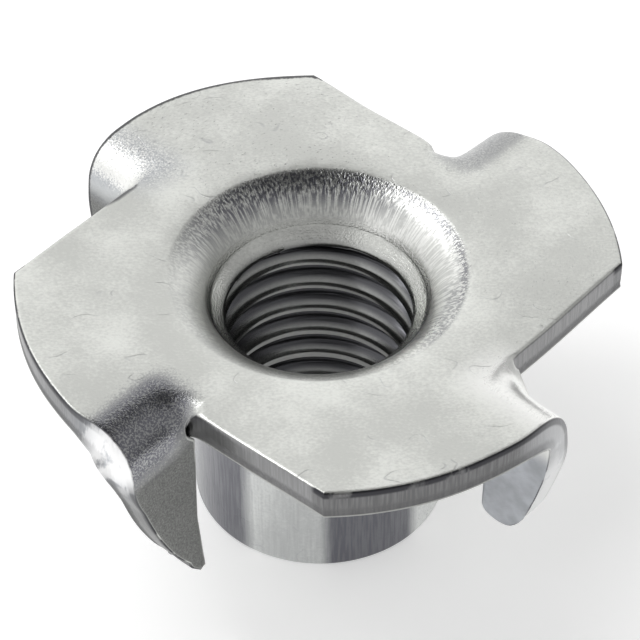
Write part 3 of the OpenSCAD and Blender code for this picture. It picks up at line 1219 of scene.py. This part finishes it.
class TEENUT_OT_join(bpy.types.Operator):
    """Joins sheet and barrel into one piece of metal and gives it its hand"""

    bl_idname = "tee_nut.join"
    bl_label = "Join and plate"

    def execute(self, context):
        bm = bmesh.new()
        for name in ("sheet worn", "sheet sharp", "barrel"):
            part = bpy.data.objects[name]
            bm.from_mesh(part.data)
            bpy.data.objects.remove(part)
        bmesh.ops.remove_doubles(bm, verts=bm.verts, dist=3e-6)
        bmesh.ops.dissolve_degenerate(bm, dist=1e-7, edges=bm.edges)
        bmesh.ops.recalc_face_normals(bm, faces=bm.faces)
        if any(len(e.link_faces) != 2 for e in bm.edges):
            raise RuntimeError("sheet and barrel don't close up into one piece of metal")
        mesh = bpy.data.meshes.new("tee_nut_metal")
        bm.to_mesh(mesh)
        bm.free()
        p = context.scene.tee_nut_sheet
        co = np.empty(3 * len(mesh.vertices))
        mesh.vertices.foreach_get("co", co)
        ring_r = ring_radius(millimetres(context.scene.tee_nut_barrel))
        co = warped(co.reshape(-1, 3) / MM, ring_r, p.flange_d / MM / 2, p.warp, p.dish / MM)
        mesh.vertices.foreach_set("co", (co * MM).ravel())
        mesh.update()
        mesh.shade_smooth()
        mesh.set_sharp_from_angle(angle=math.radians(50))
        obj = bpy.data.objects.new("tee_nut_metal", mesh)
        context.scene.collection.objects.link(obj)
        mesh.materials.clear()
        mesh.materials.append(plating())
        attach(obj, "root")
        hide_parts("tee_nut")
        return {"FINISHED"}


FLOOR_SIDE = 1.2  # metres, as the hood's radius and the lamps' places and sizes are
HOOD_R = 0.5
LAMP_AIM_Z = 0.006
# each lamp: name, place, side of the square, watts, and whether the metal mirrors it; the overhead
# one only lights the floor and dull things, and the metal mirrors the room and the key instead
LAMPS = (
    ("key", (-0.145, 0.053, 0.197), 0.09, 0.1, True),
    ("overhead", (-0.085, 0.055, 0.225), 0.16, 0.15, False),
)


def cloth(name, tone, lit):
    """Dull cloth of one grey tone that may shine by itself."""
    m = bpy.data.materials.new(name)
    m.use_nodes = True
    shader = m.node_tree.nodes["Principled BSDF"]
    shader.inputs["Base Color"].default_value = (tone, tone, tone, 1)
    shader.inputs["Roughness"].default_value = 1.0
    shader.inputs["Emission Color"].default_value = (1, 1, 1, 1)
    shader.inputs["Emission Strength"].default_value = lit
    return m


def hood_panel(bearing, rise):
    """Which cloth hangs at a bearing and a rise in degrees: 0 dark, 1 lit, 2 gauze, None open."""
    if 60 < bearing < 228 and rise < 66:
        return 2 if rise > 37 else None
    if 24 < bearing <= 60 and rise < 37:
        return None
    if rise < 20 or ((bearing > 228 or bearing < 60) and rise < 58):
        return 1
    return 0


def hood_object(radius, p):
    """A cloth hood over the object, open towards the back and the left."""
    verts, faces, panels = [], [], []
    turns, rises = 60, 15
    for i in range(turns):
        a = 2 * math.pi * i / turns
        for j in range(rises + 1):
            e = math.pi / 2 * j / rises
            level = radius * math.cos(e)
            verts.append((level * math.cos(a), level * math.sin(a), radius * math.sin(e)))
    for i in range(turns):
        for j in range(rises):
            panel = hood_panel(360 * (i + 0.5) / turns, 90 * (j + 0.5) / rises)
            if panel is None:
                continue
            k, n = i * (rises + 1) + j, (i + 1) % turns * (rises + 1) + j
            faces.append((k, k + 1, n + 1, n))
            panels.append(panel)
    mesh = bpy.data.meshes.new("hood")
    mesh.from_pydata(verts, [], faces)
    mesh.materials.append(cloth("dark cloth", p.hood, 0.0))
    mesh.materials.append(cloth("lit cloth", p.hood, p.lit_cloth))
    mesh.materials.append(cloth("gauze", p.hood, p.gauze))
    mesh.polygons.foreach_set("material_index", panels)
    return bpy.data.objects.new("hood", mesh)


def view_matrix(p, top):
    """The camera's place and turn for its settings."""
    e, roll = p.elevation, p.roll
    right = Vector((1, 0, 0))
    down = Vector((0, -math.sin(e), -math.cos(e)))
    ahead = Vector((0, math.cos(e), -math.sin(e)))
    c, s = math.cos(roll), math.sin(roll)
    right, down = c * right - s * down, s * right + c * down
    place = -(p.aim[0] * right + p.aim[1] * down + p.distance * ahead)
    turn = Matrix((right, -down, -ahead)).transposed().to_4x4()
    turned = Matrix.Rotation(p.turn, 4, "Z")
    return Matrix.Translation((0, 0, top)) @ turned @ Matrix.Translation(place) @ turn


def floor_object(p):
    """The pale floor. Its glow shows to the camera, in the metal and through clear things only."""
    mesh = bpy.data.meshes.new("floor")
    half = FLOOR_SIDE / 2
    corners = [(-half, -half, 0), (half, -half, 0), (half, half, 0), (-half, half, 0)]
    mesh.from_pydata(corners, [], [(0, 1, 2, 3)])
    m = bpy.data.materials.new("pale floor")
    m.use_nodes = True
    t = Tree(m.node_tree)
    m.node_tree.nodes.clear()
    diffuse = t.node("ShaderNodeBsdfDiffuse", "", {"Color": (*p.floor, 1)})
    glow = t.node("ShaderNodeEmission", "", {"Color": (1, 1, 1, 1)})
    path = t.node("ShaderNodeLightPath")
    rays = ("Is Camera Ray", "Is Glossy Ray", "Is Transmission Ray")
    seen = t.most(*(path.outputs[ray] for ray in rays))
    t.put(glow.inputs["Strength"], t.times(seen, p.glow))
    both = t.node("ShaderNodeAddShader", "", {0: diffuse, 1: glow})
    t.node("ShaderNodeOutputMaterial", "", {"Surface": both})
    mesh.materials.append(m)
    return bpy.data.objects.new("floor", mesh)


def white_room(brightness):
    """The plain white surroundings."""
    world = bpy.data.worlds.new("room")
    world.use_nodes = True
    back = world.node_tree.nodes["Background"]
    back.inputs["Color"].default_value = (1, 1, 1, 1)
    back.inputs["Strength"].default_value = brightness
    return world


def lamp_object(name, place, size, power, mirrored):
    """A square lamp aimed at the nut."""
    lamp = bpy.data.lights.new(name, "AREA")
    lamp.size = size
    lamp.energy = power
    obj = bpy.data.objects.new(name, lamp)
    obj.location = place
    aim = Vector((0, 0, LAMP_AIM_Z)) - Vector(place)
    obj.rotation_euler = aim.to_track_quat("-Z", "Y").to_euler()
    obj.visible_glossy = mirrored
    return obj


def camera_object(p, top):
    """The camera at its settings, for a flange at this height."""
    camera = bpy.data.cameras.new("camera")
    camera.sensor_width = 36
    camera.lens = p.lens
    camera.clip_start = 0.001
    obj = bpy.data.objects.new("camera", camera)
    obj.matrix_world = view_matrix(p, top)
    return obj


class TEENUT_OT_stage(bpy.types.Operator):
    """Lays the floor and sets the lamps and the camera"""

    bl_idname = "tee_nut.stage"
    bl_label = "Set the stage"

    def execute(self, context):
        scene = context.scene
        p = scene.tee_nut_stage
        link = scene.collection.objects.link
        scene.view_settings.view_transform = "Standard"
        floor = floor_object(p)
        link(floor)
        # the room is plain and white, with a dark hood over its front and right
        scene.world = white_room(p.world)
        hood = hood_object(HOOD_R, p)
        link(hood)
        hood.visible_camera = False
        for lamp in LAMPS:
            link(lamp_object(*lamp))
        camera = camera_object(p, scene.tee_nut_sheet.top_z)
        link(camera)
        scene.camera = camera
        return {"FINISHED"}


class TEENUT_PT_panel(bpy.types.Panel):
    """Lists the tee nut's settings and steps"""

    bl_label = "Tee Nut"
    bl_idname = "TEENUT_PT_panel"
    bl_space_type = "VIEW_3D"
    bl_region_type = "UI"
    bl_category = "Tee Nut"

    def draw(self, context):
        for key in SETTINGS:
            box = self.layout.box()
            box.label(text=key.replace("tee_nut_", "").title())
            group = getattr(context.scene, key)
            for name in type(group).__annotations__:
                box.prop(group, name)
        for step in STEPS:
            self.layout.operator(step.bl_idname)


SETTINGS = {
    "tee_nut_sheet": TeeNutSheet,
    "tee_nut_barrel": TeeNutBarrel,
    "tee_nut_finish": TeeNutFinish,
    "tee_nut_stage": TeeNutStage,
}
STEPS = (TEENUT_OT_sheet, TEENUT_OT_barrel, TEENUT_OT_join, TEENUT_OT_stage)
CLASSES = (*SETTINGS.values(), *STEPS, TEENUT_PT_panel)


def register():
    for item in CLASSES:
        bpy.utils.register_class(item)
    for key, group in SETTINGS.items():
        setattr(bpy.types.Scene, key, bpy.props.PointerProperty(type=group))


def unregister():
    for key in SETTINGS:
        delattr(bpy.types.Scene, key)
    for item in reversed(CLASSES):
        bpy.utils.unregister_class(item)


def main():
    register()
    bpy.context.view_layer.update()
    bpy.ops.tee_nut.sheet()
    bpy.ops.tee_nut.barrel()
    bpy.ops.tee_nut.join()
    bpy.ops.tee_nut.stage()


if __name__ == "__main__":
    main()
